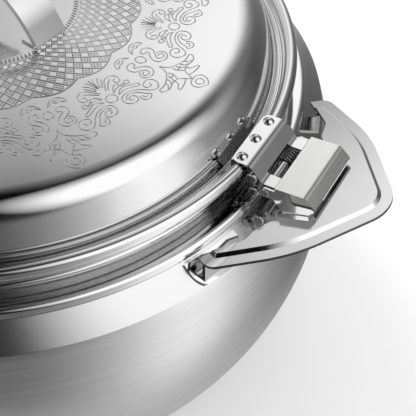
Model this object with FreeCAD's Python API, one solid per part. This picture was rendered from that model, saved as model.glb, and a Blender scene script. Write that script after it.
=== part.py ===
# Insulated chapati casserole: double-walled steel bowl, double-walled lid on a rear hinge,
# two pressed wing handles and a sprung over-lip latch at the front.
# Frame: millimetres, +Z up, origin on the floor at the centre of the base, +X towards the latch.
import FreeCAD, Part
import math
import os

V = FreeCAD.Vector
os.makedirs("parts", exist_ok=True)

# Body
rim_height = 140.0           # height of the middle of the lid's rolled edge
belly_radius = 141.4
belly_height = rim_height - 55.0
seam_radius = belly_radius - 4.3  # line between the polished shoulder and the satin belly
seam_height = rim_height - 25.6
seam_round = 1.2
seam_straight = 3.0
base_radius = belly_radius - 32.7
base_height = 5.0            # underside of the outer shell's turned-in edge
base_corner = 3.0
base_straight = 6.0
shell_lip_width = 9.5        # turned-in edge at the bottom of the outer shell
shell_sheet = 1.0
bowl_radius = belly_radius - 28.1  # middle of the bowl's wall
bowl_floor = 16.0
bowl_corner = 50.0
bowl_sheet = 0.7
bowl_flange = 3.6            # width of the flange that the lid rests over
foam_gap = 0.3
neck_radius = bowl_radius + 2.9
neck_sheet = 0.8
neck_cove = 3.5
neck_bead_size = 0.6
neck_bead_drop = 4.2
rim_bead_radius = belly_radius - 14.4  # middle of the body's rolled rim
rim_bead_size = 2.4
rim_bead_drop = 14.3         # below the lid's rolled edge
shoulder_gap = 0.15
shell_edge_inset = 0.6       # of the shell's upper edge, under the rim bead
plate_sheet = 1.0
foot_radius = base_radius - 12.2
foot_width = 5.0
foot_slope = 3.0
plate_edge_inset = 1.7
base_recess = 3.0
plug_radius = 5.0
plug_head = 8.0
plug_head_height = 1.2
plug_fit = 0.08

# Lid
lid_roll_radius = rim_bead_radius - 4.6  # middle of the lid's rolled edge
lid_rise = 20.2              # crown of the lid above the rolled edge
lid_crown_radius = 2600.0
lid_shoulder_radius = lid_roll_radius - 12.9
lid_crown_start = lid_shoulder_radius - 61.5
lid_shoulder_drop = 2.0
lid_shoulder_round = 14.0
lid_sheet = 0.8
crease_radius = lid_roll_radius - 5.2
crease_drop = 2.9
crease_round = 1.1
land_drop = 2.1
land_inset = 0.9             # of the end of the land, from the middle of the rolled edge
land_bead_size = 0.7
land_bead_sink = 0.35
land_bead_shift = 0.2
lid_roll_size = 2.6
liner_sheet = 0.7
liner_flange_radius = lid_roll_radius - 3.1
liner_flange_gap = 0.15
liner_skirt_gap = 1.1        # between the skirt and the bowl's wall
liner_skirt_drop = 8.8       # underside of the skirt, below the rolled edge's middle
liner_lip_width = 3.6
liner_ceiling = 9.6          # above the rolled edge's middle
liner_wall_radius = bowl_radius - 9.3
liner_corner = 8.0
lid_rest_gap = 0.3

# Lid handle
strap_turn = -10.0           # degrees about Z, away from the latch line
strap_reach = 38.7
strap_arch = 43.2
strap_arch_centre = 3.2      # above the rolled edge's middle
strap_width = 15.0
strap_sheet = 1.0
strap_lip = 2.3
strap_end_round = 1.6
strap_end_straight = 2.6     # between the arch and the round at each end
strap_foot = 9.0
strap_foot_half = 6.1
strap_seat_drop = 0.07       # feet below the crown, where the lid has begun to fall
washer_gap = 0.25
stud_fit = 0.05
stud_radius = 2.0
stud_depth = 6.6             # below the lid's top sheet
nut_across = 7.0
nut_height = 3.0
washer_radius = 5.0
washer_height = 0.8
stud_pocket = 6.0

# Wing handles
handle_height = rim_height - 12.7  # top of the flange at handle_root
handle_root = belly_radius - 10.4
handle_tilt = 10.54
handle_sheet = 1.2
handle_corner_x = belly_radius - 12.4
handle_corner_y = 50.8
handle_corner_rise = 4.8     # of the short end beside the body, over the corner
handle_corner_round = 5.0
handle_side_x = belly_radius + 12.8
handle_side_y = 34.6
handle_side_round = 60.0
handle_tip = belly_radius + 38.2
handle_tip_round = 15.2
handle_flange = 4.2
handle_step = 1.2
handle_draft = 1.3
handle_inner_radius = belly_radius - 9.6
handle_heel_x = belly_radius - 17.9      # inner end of the slanting edge beside the notch
handle_heel_y = 46.6
handle_toe_x = belly_radius - 6.2
handle_toe_y = 34.8
handle_toe_round = 5.0
notch_half = 19.6
notch_end = belly_radius + 11.0
notch_round = 3.0
notch_mouth = 27.0           # half the width of the notch where it meets the slanting edge
notch_mouth_round = 3.0
tab_angle = 17.3             # degrees from the latch line to the middle of a tab
tab_half = 12.4
tab_round = 7.0
tab_sheet = 1.2
tab_length = 10.3            # along the shoulder
web_angle = 19.4             # degrees from the latch line to the web under the handle
web_half = 4.2
web_radius = belly_radius - 6.6
web_sheet = 1.5

# Rivets, plates and saddles on the lid's edge
rivet_radius = 1.0
rivet_head = 2.25
rivet_head_height = 1.35
rivet_tail = 1.8
rivet_tail_height = 1.0
rivet_pitch = 10.7
rivet_fit = 0.05
rivet_line = lid_roll_radius - 1.2
fitting_sheet = 0.9
fitting_half = 14.2
fitting_corner = 3.0
fitting_inner = lid_roll_radius - 4.1
saddle_inner = lid_roll_radius - 3.8
saddle_half = 13.0
saddle_fit = 0.05
backing_width = 4.2
backing_inset = 0.8
backing_sheet = 0.85
backing_drop = 3.2           # top of the backing plate below the rolled edge's middle

# Latch
shoulder_x = lid_roll_radius + 3.5  # outer end of the latch plate's flat top
arm_x = lid_roll_radius + 8.8  # start of the latch plate's arms
arm_end = lid_roll_radius + 13.9
arm_drop = 2.5               # top of the arms below the rolled edge's middle
shoulder_round = 3.2
arm_round = 2.2
window_half = 8.5
window_start = lid_roll_radius + 8.1
ear_bottom = 9.8
pivot_x = lid_roll_radius + 10.7
pivot_drop = 5.0
pivot_radius = 1.6
pivot_end_radius = 1.1
pivot_head = 1.75
pivot_head_height = 0.5
ear_sheet = 0.9
running_fit = 0.06
cross_pin_radius = 1.0
cross_pin_head = 2.1
cross_pin_head_height = 1.1
stop_pin_x = lid_roll_radius + 4.9
stop_pin_drop = 1.4
anchor_pin_x = lid_roll_radius + 5.9
anchor_pin_drop = 7.7
spring_wire = 0.9
spring_mean_radius = 2.3
spring_pitch = 1.38
spring_turns = 4
spring_start_y = 1.8
spring_anchor_gap = 0.1
spring_anchor_reach = 7.4
spring_lever_reach = 11.6
spring_lever_slope = 47.0    # degrees below level
lever_half = 15.6
lever_sheet = 0.9
lever_inner = pivot_x + 3.8
lever_top_drop = 1.3
lever_crown_x = pivot_x + 15.8
lever_crown_drop = 0.5
lever_crown_round = 2.6
lever_nose_x = pivot_x + 20.2
lever_nose_drop = 4.9
cheek_arm = 2.0
cheek_right = pivot_x + 17.5
cheek_right_drop = 8.2
cheek_left = pivot_x + 7.2
cheek_left_drop = 11.0
tray_left = pivot_x + 5.9
tray_left_drop = 15.0
tray_right = pivot_x + 18.1
tray_right_drop = 10.8
tray_depth = 2.0
tray_sheet = 0.8
wall_rise = 5.6              # inner walls of the tray, above its underside
wall_fit = 0.1
hook_half = 12.5
hook_sheet = 0.9
hook_lip_gap = 0.35
hook_side_gap = 1.45
hook_tip_gap = 0.25
keeper_x = pivot_x - 0.5
keeper_drop = 17.0
keeper_pin_radius = 1.4
keeper_pin_head = 2.2
keeper_pin_head_height = 1.1
keeper_ear_inner = 16.8
keeper_ear_sheet = 1.2
keeper_pad = 1.0
keeper_pad_half = 19.6
keeper_pad_round = 4.0
pad_start = 2.8              # along the shoulder, from the shell's upper edge
pad_length = 9.8

# Hinge
hinge_x = rim_bead_radius + 6.5
hinge_drop = 7.0
hinge_pin_radius = 1.5
hinge_pin_head = 2.4
hinge_pin_head_height = 1.0
hinge_sheet = 0.9
hinge_half = 14.0
hinge_middle = 5.0
hinge_side_gap = 0.4
hinge_bend = lid_roll_radius + 5.2
hinge_bend_round = 3.0
hinge_pad_half = 15.0


def turn_angle(a, b, c):
    """Signed turn, in radians, of a path at b."""
    first = math.atan2(b[1] - a[1], b[0] - a[0])
    second = math.atan2(c[1] - b[1], c[0] - b[0])
    return (second - first + math.pi) % (2.0 * math.pi) - math.pi


def corner(a, b, c):
    """Start, middle and end of the round at b, or None where b stays sharp."""
    radius = b[2] if len(b) > 2 else 0.0
    turn = turn_angle(a, b, c)
    if radius < 1e-6 or abs(turn) < 1e-6:
        return None
    back = math.hypot(a[0] - b[0], a[1] - b[1])
    ahead = math.hypot(c[0] - b[0], c[1] - b[1])
    length = radius * math.tan(abs(turn) / 2.0)
    u = ((a[0] - b[0]) / back, (a[1] - b[1]) / back)
    w = ((c[0] - b[0]) / ahead, (c[1] - b[1]) / ahead)
    start = (b[0] + u[0] * length, b[1] + u[1] * length)
    end = (b[0] + w[0] * length, b[1] + w[1] * length)
    side = (u[0] + w[0], u[1] + w[1])
    size = math.hypot(side[0], side[1])
    reach = radius / math.cos(turn / 2.0) - radius
    middle = (b[0] + side[0] / size * reach, b[1] + side[1] / size * reach)
    return start, middle, end


def trace(points, closed=False):
    """Pieces of a path with rounded corners: ('line', p, q) or ('arc', p, m, q)."""
    count = len(points)
    pieces = []
    first = None
    at = None
    for i in range(count):
        here = points[i]
        rounded = None
        if closed or 0 < i < count - 1:
            rounded = corner(points[i - 1], here, points[(i + 1) % count])
        start, end = (rounded[0], rounded[2]) if rounded else (here[:2], here[:2])
        if at is not None and math.hypot(start[0] - at[0], start[1] - at[1]) > 1e-5:
            pieces.append(("line", at, start))
        elif at is not None:
            start = at
        if first is None:
            first = start
        if rounded:
            pieces.append(("arc", start, rounded[1], end))
        at = end
    if closed:
        pieces.append(("line", at, first))
    return pieces


def reverse(pieces):
    return [(p[0],) + tuple(reversed(p[1:])) for p in reversed(pieces)]


def offset(points, distance):
    """The same open path, moved to its left by distance."""
    result = []
    for i, here in enumerate(points):
        before = points[i - 1] if i > 0 else None
        after = points[i + 1] if i < len(points) - 1 else None
        normals = []
        for a, b in ((before, here), (here, after)):
            if a is not None and b is not None:
                size = math.hypot(b[0] - a[0], b[1] - a[1])
                normals.append((-(b[1] - a[1]) / size, (b[0] - a[0]) / size))
        nx = sum(n[0] for n in normals) / len(normals)
        nz = sum(n[1] for n in normals) / len(normals)
        scale = 1.0 / (nx * nx + nz * nz)
        radius = here[2] if len(here) > 2 else 0.0
        if radius and before is not None and after is not None:
            radius -= distance if turn_angle(before, here, after) > 0.0 else -distance
        result.append((here[0] + nx * scale * distance, here[1] + nz * scale * distance, max(radius, 0.0)))
    return result


def in_xz(p):
    return V(p[0], 0.0, p[1])


def in_xy(p):
    return V(p[0], p[1], 0.0)


def edges(pieces, place=in_xz):
    made = []
    for piece in pieces:
        points = [place(p) for p in piece[1:]]
        if piece[0] == "line":
            made.append(Part.makeLine(points[0], points[1]))
        else:
            made.append(Part.Arc(points[0], points[1], points[2]).toShape())
    return made


def face(pieces, place=in_xz):
    return Part.Face(Part.Wire(Part.__sortEdges__(edges(pieces, place))))


def outline(points, place=in_xz):
    return face(trace(points, closed=True), place)


def strip(points, thickness, shift=0.0):
    """Face of a bent sheet: its path is the right-hand surface, moved left by shift."""
    near = trace(offset(points, shift))
    far = trace(offset(points, shift + thickness))
    cap_end = ("line", near[-1][-1], far[-1][-1])
    cap_start = ("line", far[0][1], near[0][1])
    return face(near + [cap_end] + reverse(far) + [cap_start])


def spin(profile, degrees=360.0, middle=0.0):
    """Revolve a face in the XZ plane about Z, or a sector of it about the angle middle."""
    if degrees < 360.0:
        profile = profile.copy()
        profile.rotate(V(0, 0, 0), V(0, 0, 1), middle - degrees / 2.0)
    return profile.revolve(V(0, 0, 0), V(0, 0, 1), degrees)


def across(profile, half, other=None):
    """Extrude a face in the XZ plane along Y from -half to half, or from half to other."""
    low, high = (-half, half) if other is None else (half, other)
    moved = profile.copy()
    moved.translate(V(0, low, 0))
    return moved.extrude(V(0, high - low, 0))


def both_sides(profile, near, far):
    """Two copies of an extrusion, one each side of the XZ plane."""
    return across(profile, near, far).fuse(across(profile, -far, -near))


def rod(x, z, radius, low, high):
    """Cylinder along Y."""
    return Part.makeCylinder(radius, high - low, V(x, low, z), V(0, 1, 0))


def ring(radius, z, size):
    return Part.makeTorus(radius, size, V(0, 0, z))


def block(x0, x1, y0, y1, z0, z1):
    return Part.makeBox(x1 - x0, y1 - y0, z1 - z0, V(x0, y0, z0))


def to_rear(shape):
    """The same fitting at the rear: half a turn about Z."""
    moved = shape.copy()
    moved.rotate(V(0, 0, 0), V(0, 0, 1), 180.0)
    return moved


def joined(shapes):
    whole = shapes[0].fuse(shapes[1:]) if len(shapes) > 1 else shapes[0]
    return whole.removeSplitter()


def save(name, shape):
    shape.exportStep("parts/" + name + ".step")
    print(name, "solids", len(shape.Solids), "valid", shape.isValid(), "volume", round(shape.Volume, 1))


# Levels worked out from the sizes above
rim_bead_z = rim_height - rim_bead_drop
land_z = rim_height - land_drop
liner_top_z = rim_height - crease_drop - lid_sheet - liner_flange_gap
liner_bottom_z = liner_top_z - liner_sheet
bowl_top_z = liner_bottom_z - lid_rest_gap
roll_top_z = rim_height + lid_roll_size
above_z = rim_height + 60.0
below_z = rim_height - 60.0
roll_bottom_z = rim_height - lid_roll_size
plate_top_z = roll_top_z + fitting_sheet
pivot_z = rim_height - pivot_drop
keeper_z = rim_height - keeper_drop
hinge_z = rim_height - hinge_drop
arm_z = rim_height - arm_drop
backing_top = rim_height - backing_drop
shoulder_top_z = rim_bead_z - rim_bead_size - shoulder_gap


def belly_arc(out, rise, straight):
    """Radius of the belly's arc, and the length of its tangents, for a straight run to a corner."""
    radius = (out ** 2 + rise ** 2 - straight ** 2) / (2.0 * out)
    angle = math.atan2(rise, radius - out) - math.atan(straight / radius)
    return radius, radius * math.tan(angle / 2.0)


def outer_path():
    """Outer surface of the body, from under the rim bead down to the base."""
    upper, upper_tangent = belly_arc(belly_radius - seam_radius, seam_height - belly_height, seam_straight)
    lower, lower_tangent = belly_arc(belly_radius - base_radius, belly_height - base_height, base_straight)
    return [
        (rim_bead_radius - shell_edge_inset, shoulder_top_z),
        (seam_radius, seam_height, seam_round),
        (belly_radius, belly_height + upper_tangent, upper),
        (belly_radius, belly_height - lower_tangent, lower),
        (base_radius, base_height, base_corner),
        (base_radius - shell_lip_width, base_height),
    ]


def bowl_path():
    """Outer surface of the inner bowl, from its flange down to the middle of its floor."""
    wall = bowl_radius + bowl_sheet / 2.0
    return [
        (wall + bowl_flange, bowl_top_z - bowl_sheet),
        (wall, bowl_top_z - bowl_sheet, 1.2),
        (wall, bowl_floor - bowl_sheet, bowl_corner),
        (0.0, bowl_floor - bowl_sheet),
    ]


def to_axis(pieces):
    """Face between a path and the Z axis."""
    first = pieces[0][1]
    last = pieces[-1][-1]
    closing = []
    if last[0] > 1e-6:
        closing.append(("line", last, (0.0, last[1])))
    closing.append(("line", (0.0, last[1]), (0.0, first[1])))
    if first[0] > 1e-6:
        closing.append(("line", (0.0, first[1]), first))
    return face(pieces + closing)


def body_solid():
    """Everything inside the body's outer surface, to trim what is welded onto it."""
    return spin(to_axis(trace(outer_path())))


def outer_shell():
    return spin(strip(outer_path(), -shell_sheet))


def inner_bowl():
    return spin(strip(bowl_path(), -bowl_sheet))


def neck_ring():
    top = bowl_top_z - bowl_sheet
    shelf = rim_bead_z + rim_bead_size - neck_sheet
    path = [
        (neck_radius - neck_sheet / 2.0, top),
        (neck_radius - neck_sheet / 2.0, shelf, neck_cove + neck_sheet),
        (rim_bead_radius, shelf),
    ]
    sheet = spin(strip(path, neck_sheet))
    bead = ring(neck_radius + neck_sheet / 2.0, top - neck_bead_drop, neck_bead_size)
    bead = bead.cut(Part.makeCylinder(neck_radius, rim_height))
    return joined([sheet, ring(rim_bead_radius, rim_bead_z, rim_bead_size), bead])


def body_foam():
    outer = to_axis(trace(offset(outer_path(), -(shell_sheet + foam_gap))))
    bowl = to_axis(trace(offset(bowl_path(), foam_gap)))
    return spin(outer.cut(bowl).Faces[0])


def base_plate():
    inner = foot_radius - foot_width / 2.0
    outer = foot_radius + foot_width / 2.0
    shelf = base_height - plate_sheet
    middle = base_recess - plate_sheet / 2.0
    path = [
        (0.0, middle),
        (inner - foot_slope, middle, 2.0),
        (inner, 0.0, 2.5),
        (outer, 0.0, 2.5),
        (outer + foot_slope, shelf, 1.5),
        (base_radius - plate_edge_inset, shelf),
    ]
    plate = spin(strip(path, plate_sheet))
    return plate.cut(Part.makeCylinder(plug_radius, 10.0))


def filling_plug():
    low = base_recess - plate_sheet / 2.0
    head = Part.makeCylinder(plug_head, plug_head_height, V(0, 0, low - plug_head_height))
    shank = Part.makeCylinder(plug_radius - plug_fit, plate_sheet + 1.0, V(0, 0, low))
    collar = Part.makeCylinder(plug_radius + 0.3, 0.9, V(0, 0, low + plate_sheet + 0.1))
    return joined([head, shank, collar])


# Lid
def lid_path():
    """Outer surface of the lid, from the middle out to the crease."""
    top = rim_height + lid_rise
    return [
        (0.0, top),
        (lid_crown_start, top, lid_crown_radius),
        (lid_shoulder_radius, top - lid_shoulder_drop, lid_shoulder_round),
        (crease_radius, rim_height - crease_drop, crease_round),
    ]


def liner_path():
    """Foam side of the lid's liner, from the edge of its flange to the middle of its ceiling."""
    skirt = bowl_radius - bowl_sheet / 2.0 - liner_skirt_gap - liner_sheet
    bottom = rim_height - liner_skirt_drop
    return [
        (liner_flange_radius, liner_top_z),
        (skirt, liner_top_z, 1.2),
        (skirt, bottom, 0.8),
        (skirt - liner_lip_width, bottom, 0.8),
        (liner_wall_radius, rim_height + liner_ceiling, liner_corner),
        (0.0, rim_height + liner_ceiling),
    ]


def lid_shell():
    path = lid_path() + [(lid_roll_radius - land_inset, rim_height - land_drop)]
    sheet = spin(strip(path, -lid_sheet))
    bead_z = rim_height - land_drop - land_bead_sink
    bead_radius = (crease_radius + lid_roll_radius - lid_roll_size) / 2.0 + land_bead_shift
    bead = ring(bead_radius, bead_z, land_bead_size)
    keep = Part.makeCylinder(lid_roll_radius, 10.0, V(0, 0, bead_z - land_bead_size / 2.0))
    return joined([sheet, ring(lid_roll_radius, rim_height, lid_roll_size), bead.common(keep)])


def lid_shell_with_holes():
    shell = lid_shell()
    for x, y in stud_places():
        shell = shell.cut(Part.makeCylinder(stud_radius + stud_fit, 40.0, V(x, y, rim_height)))
    return shell


def lid_liner():
    return spin(strip(liner_path(), liner_sheet))


def stud_places():
    turn = math.radians(strap_turn)
    reach = strap_reach - strap_sheet - strap_foot / 2.0
    return [(side * reach * math.cos(turn), side * reach * math.sin(turn)) for side in (1.0, -1.0)]


def lid_foam():
    outer = to_axis(trace(offset(lid_path(), -(lid_sheet + foam_gap))))
    wall = offset(liner_path(), -foam_gap)[3:]
    inner = to_axis(trace([wall[0][:2]] + wall[1:]))
    foam = spin(outer.cut(inner).Faces[0])
    for x, y in stud_places():
        low = rim_height + lid_rise - lid_sheet - stud_depth - 0.4
        foam = foam.cut(Part.makeCylinder(stud_pocket, 20.0, V(x, y, low)))
    return foam


# Lid handle
def strap_path(inset):
    """Side outline of the strap, drawn in by inset, from one foot over the arch to the other."""
    centre = rim_height + strap_arch_centre
    top = rim_height + lid_rise - strap_seat_drop
    run = strap_reach - strap_end_straight
    angle = math.asin(run / strap_arch)
    apex = centre + strap_arch / math.cos(angle)
    corner_z = apex - strap_reach * math.tan(angle)
    path = [
        (-strap_reach, top),
        (-strap_reach, corner_z, strap_end_round),
        (0.0, apex, strap_arch),
        (strap_reach, corner_z, strap_end_round),
        (strap_reach, top),
    ]
    return trace(offset(path, -inset))


def strap_side(inset):
    path = strap_path(inset)
    return face(path + [("line", path[-1][-1], path[0][1])])


def lid_handle():
    half = strap_width / 2.0
    whole = across(strap_side(0.0), half)
    hollow = across(strap_side(strap_sheet), half - strap_sheet)
    below = across(strap_side(strap_lip), half + 1.0)
    strap = whole.cut(hollow).cut(below)
    top = rim_height + lid_rise - strap_seat_drop
    for side in (1.0, -1.0):
        near = side * (strap_reach - strap_sheet)
        far = side * (strap_reach - strap_sheet - strap_foot)
        low_x, high_x = min(near, far), max(near, far)
        foot = block(low_x, high_x, -strap_foot_half, strap_foot_half, top, top + strap_sheet)
        deep = stud_depth + lid_sheet
        stud = Part.makeCylinder(stud_radius, deep + 0.5, V((near + far) / 2.0, 0, top - deep))
        strap = strap.fuse([foot, stud])
    strap = strap.removeSplitter()
    strap.rotate(V(0, 0, 0), V(0, 0, 1), strap_turn)
    return strap


def on_studs(make):
    return Part.makeCompound([make(x, y) for x, y in stud_places()])


def washer(x, y):
    top = rim_height + lid_rise - lid_sheet - washer_gap
    disc = Part.makeCylinder(washer_radius, washer_height, V(x, y, top - washer_height))
    return disc.cut(Part.makeCylinder(stud_radius + stud_fit, 10.0, V(x, y, top - 5.0)))


def nut(x, y):
    top = rim_height + lid_rise - lid_sheet - washer_gap - washer_height
    circle = nut_across / 2.0 / math.cos(math.pi / 6.0)
    corners = [(circle * math.cos(math.pi / 3.0 * k), circle * math.sin(math.pi / 3.0 * k)) for k in range(6)]
    body = outline(corners, in_xy).extrude(V(0, 0, nut_height))
    body.translate(V(x, y, top - nut_height))
    return body.cut(Part.makeCylinder(stud_radius + stud_fit, 10.0, V(x, y, top - 7.0)))


# Fittings riveted onto the lid's edge
def fitting_holes(shape):
    for y in (-rivet_pitch, 0.0, rivet_pitch):
        drill = Part.makeCylinder(rivet_radius + rivet_fit, 20.0, V(rivet_line, y, rim_height - 10.0))
        shape = shape.cut(drill)
    return shape


def lid_rivets():
    """Three rivets with domed heads, through the fitting, the lid's edge and the backing plate."""
    made = []
    rise = rivet_head_height
    dome = (rivet_head ** 2 + rise ** 2) / (2.0 * rise)
    low = backing_top - backing_sheet
    for y in (-rivet_pitch, 0.0, rivet_pitch):
        head = Part.makeSphere(dome, V(rivet_line, y, plate_top_z + rise - dome))
        head = head.common(Part.makeCylinder(rivet_head + 1.0, rise + 1.0, V(rivet_line, y, plate_top_z)))
        shank = Part.makeCylinder(rivet_radius, plate_top_z - low, V(rivet_line, y, low))
        tail = Part.makeCylinder(rivet_tail, rivet_tail_height, V(rivet_line, y, low - rivet_tail_height))
        made.append(joined([head, shank, tail]))
    return Part.makeCompound(made)


def saddle():
    """Block that levels the ground between the lid's sloping land and the fitting."""
    slope = (crease_drop - land_drop) / (lid_roll_radius - land_inset - crease_radius)
    outer = lid_roll_radius
    low_inner = rim_height - crease_drop + slope * (saddle_inner - crease_radius) + saddle_fit
    low_outer = rim_height - crease_drop + slope * (outer - crease_radius) + saddle_fit
    high = roll_top_z
    profile = outline([(saddle_inner, low_inner), (outer, low_outer), (outer, high), (saddle_inner, high)])
    body = spin(profile, 20.0)
    body = body.common(block(0.0, lid_roll_radius - 0.6, -saddle_half, saddle_half, below_z, above_z))
    bead_z = rim_height - land_drop - land_bead_sink
    bead = (crease_radius + lid_roll_radius - lid_roll_size) / 2.0 + land_bead_shift
    body = body.cut(ring(lid_roll_radius, rim_height, lid_roll_size + saddle_fit))
    body = body.cut(ring(bead, bead_z, land_bead_size + saddle_fit))
    solids = sorted(body.Solids, key=lambda solid: solid.Volume)
    return fitting_holes(solids[-1])


def backing_plate():
    low = backing_top - backing_sheet
    high = backing_top
    inner = rivet_line - backing_inset
    outer = inner + backing_width
    profile = outline([(inner, low), (outer, low), (outer, high), (inner, high)])
    return fitting_holes(spin(profile, 14.0))


def plan(inner, outer, half, inner_round, outer_round):
    """Rounded rectangle seen from above, as a tall block."""
    shape = outline([
        (inner, -half, inner_round),
        (outer, -half, outer_round),
        (outer, half, outer_round),
        (inner, half, inner_round),
    ], in_xy)
    shape.translate(V(0, 0, below_z))
    return shape.extrude(V(0, 0, above_z - below_z))


def catch_plate():
    path = [
        (fitting_inner, plate_top_z),
        (shoulder_x, plate_top_z, shoulder_round),
        (arm_x, arm_z, arm_round),
        (arm_end, arm_z),
    ]
    sheet = across(strip(path, -fitting_sheet), fitting_half)
    sheet = sheet.common(plan(fitting_inner, arm_end, fitting_half, fitting_corner, 0.6))
    window = block(window_start, arm_end + 1.0, -window_half, window_half, pivot_z - 1.0, arm_z + 1.6)
    inset = fitting_sheet / 2.0
    ear = outline([
        (shoulder_x - 0.6, plate_top_z - inset),
        (shoulder_x, plate_top_z - inset),
        (arm_x - 0.2, arm_z - inset + 0.1),
        (arm_end - 0.1, arm_z - inset + 0.1),
        (arm_end - 0.1, pivot_z - 0.8, 1.2),
        (pivot_x + 1.5, pivot_z - 2.6, 1.2),
        (anchor_pin_x - 1.1, rim_height - ear_bottom, 1.6),
        (stop_pin_x - 1.8, rim_height - ear_bottom + 2.4, 1.0),
        (shoulder_x - 0.6, pivot_z),
    ])
    ears = both_sides(ear, fitting_half - ear_sheet, fitting_half)
    plate = joined([sheet.cut(window), ears])
    plate = plate.cut(rod(pivot_x, pivot_z, pivot_end_radius + running_fit, -20.0, 20.0))
    hole = cross_pin_radius + rivet_fit
    plate = plate.cut(rod(stop_pin_x, rim_height - stop_pin_drop, hole, -20.0, 20.0))
    plate = plate.cut(rod(anchor_pin_x, rim_height - anchor_pin_drop, hole, -20.0, 20.0))
    return fitting_holes(plate)


def pinned(x, z, radius, half, head, head_height):
    """Cross pin with a turned-over end each side, along Y."""
    shank = rod(x, z, radius, -half, half)
    ends = [rod(x, z, head, half, half + head_height), rod(x, z, head, -half - head_height, -half)]
    round_edge = []
    for end in ends:
        circles = [e for e in end.Edges if e.Curve.TypeId == "Part::GeomCircle"]
        outer = [e for e in circles if abs(e.CenterOfMass.y) > half + head_height / 2.0]
        round_edge.append(end.makeFillet(head_height * 0.45, outer))
    return joined([shank] + round_edge)


def pivot_rod():
    inner = fitting_half - ear_sheet - 0.1
    rod_middle = rod(pivot_x, pivot_z, pivot_radius, -inner, inner)
    half = lever_half + 0.1
    ends = pinned(pivot_x, pivot_z, pivot_end_radius, half, pivot_head, pivot_head_height)
    return joined([rod_middle, ends])


def cross_pin(x, z):
    return pinned(x, z, cross_pin_radius, fitting_half + 0.05, cross_pin_head, cross_pin_head_height)


# Torsion spring
def biarc(p, t, q, u):
    """Two arcs from p, heading along t, to q, heading along u."""
    chord = q - p
    both = t + u
    k = 2.0 * (1.0 - t.dot(u))
    reach = (math.sqrt(chord.dot(both) ** 2 + k * chord.dot(chord)) - chord.dot(both)) / k
    a = p + t * reach
    b = q - u * reach
    joint = (a + b) * 0.5
    first = Part.Arc(p, arc_middle(p, a, joint), joint)
    second = Part.Arc(joint, arc_middle(joint, b, q), q)
    return [first.toShape(), second.toShape()]


def arc_middle(start, corner_point, end):
    chord_middle = (start + end) * 0.5
    half = (end - start).Length / 2.0
    rise = (corner_point - chord_middle).Length
    bulge = half * math.tan(math.atan2(rise, half) / 2.0)
    return chord_middle + (corner_point - chord_middle) * (bulge / rise)


def spring_start():
    """Angle round the rod at which the leg over the anchor pin leaves the coil, in radians."""
    dx = anchor_pin_x - pivot_x
    dz = (rim_height - anchor_pin_drop) - pivot_z
    clear = cross_pin_radius + spring_wire / 2.0 + spring_anchor_gap
    lean = math.asin((spring_mean_radius - clear) / math.hypot(dx, dz))
    return math.atan2(dz, dx) % (2.0 * math.pi) + lean - math.pi / 2.0


def spring_angles():
    first = spring_start()
    last = math.radians(90.0 - spring_lever_slope) - 2.0 * math.pi * spring_turns
    return first, last


def spring_point(angle, first):
    y = spring_start_y + spring_pitch * (first - angle) / (2.0 * math.pi)
    x = pivot_x + spring_mean_radius * math.cos(angle)
    return V(x, y, pivot_z + spring_mean_radius * math.sin(angle))


def spring_heading(angle):
    heading = V(math.sin(angle), spring_pitch / (2.0 * math.pi * spring_mean_radius), -math.cos(angle))
    return heading.normalize()


def spring_points(count):
    """Points along the wire's middle, for the gap between its turns."""
    first, last = spring_angles()
    points = []
    for k in range(count + 1):
        points.append(spring_point(first + (last - first) * k / count, first))
    start = points[0]
    end = points[-1]
    steps = 24
    back = spring_heading(first) * (spring_anchor_reach / steps)
    ahead = spring_heading(last) * (spring_lever_reach / steps)
    before = [start - back * (steps - k) for k in range(steps)]
    after = [end + ahead * (k + 1) for k in range(steps)]
    return before + points + after


def latch_spring():
    first, last = spring_angles()
    start = spring_point(first, first)
    end = spring_point(last, first)
    wire = [Part.makeLine(start - spring_heading(first) * spring_anchor_reach, start)]
    quarters = int(math.ceil((first - last) / (math.pi / 2.0)))
    for k in range(quarters):
        a = first + (last - first) * k / quarters
        b = first + (last - first) * (k + 1) / quarters
        p = spring_point(a, first)
        q = spring_point(b, first)
        wire += biarc(p, spring_heading(a), q, spring_heading(b))
    wire.append(Part.makeLine(end, end + spring_heading(last) * spring_lever_reach))
    path = Part.Wire(wire)
    at = start - spring_heading(first) * spring_anchor_reach
    circle = Part.Wire(Part.makeCircle(spring_wire / 2.0, at, spring_heading(first)))
    shell = Part.BRepOffsetAPI.MakePipeShell(path)
    shell.add(circle)
    shell.build()
    shell.makeSolid()
    solid = shell.shape()
    return solid if solid.isValid() else Part.Solid(solid)


def spring_gap():
    """Least gap between parts of the wire that are more than half a turn apart."""
    points = spring_points(240)
    lengths = [0.0]
    for a, b in zip(points, points[1:]):
        lengths.append(lengths[-1] + (b - a).Length)
    least = 1e9
    for i, a in enumerate(points):
        for j in range(i + 1, len(points)):
            if lengths[j] - lengths[i] > math.pi * spring_mean_radius:
                least = min(least, (points[j] - a).Length)
    return least - spring_wire


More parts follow.
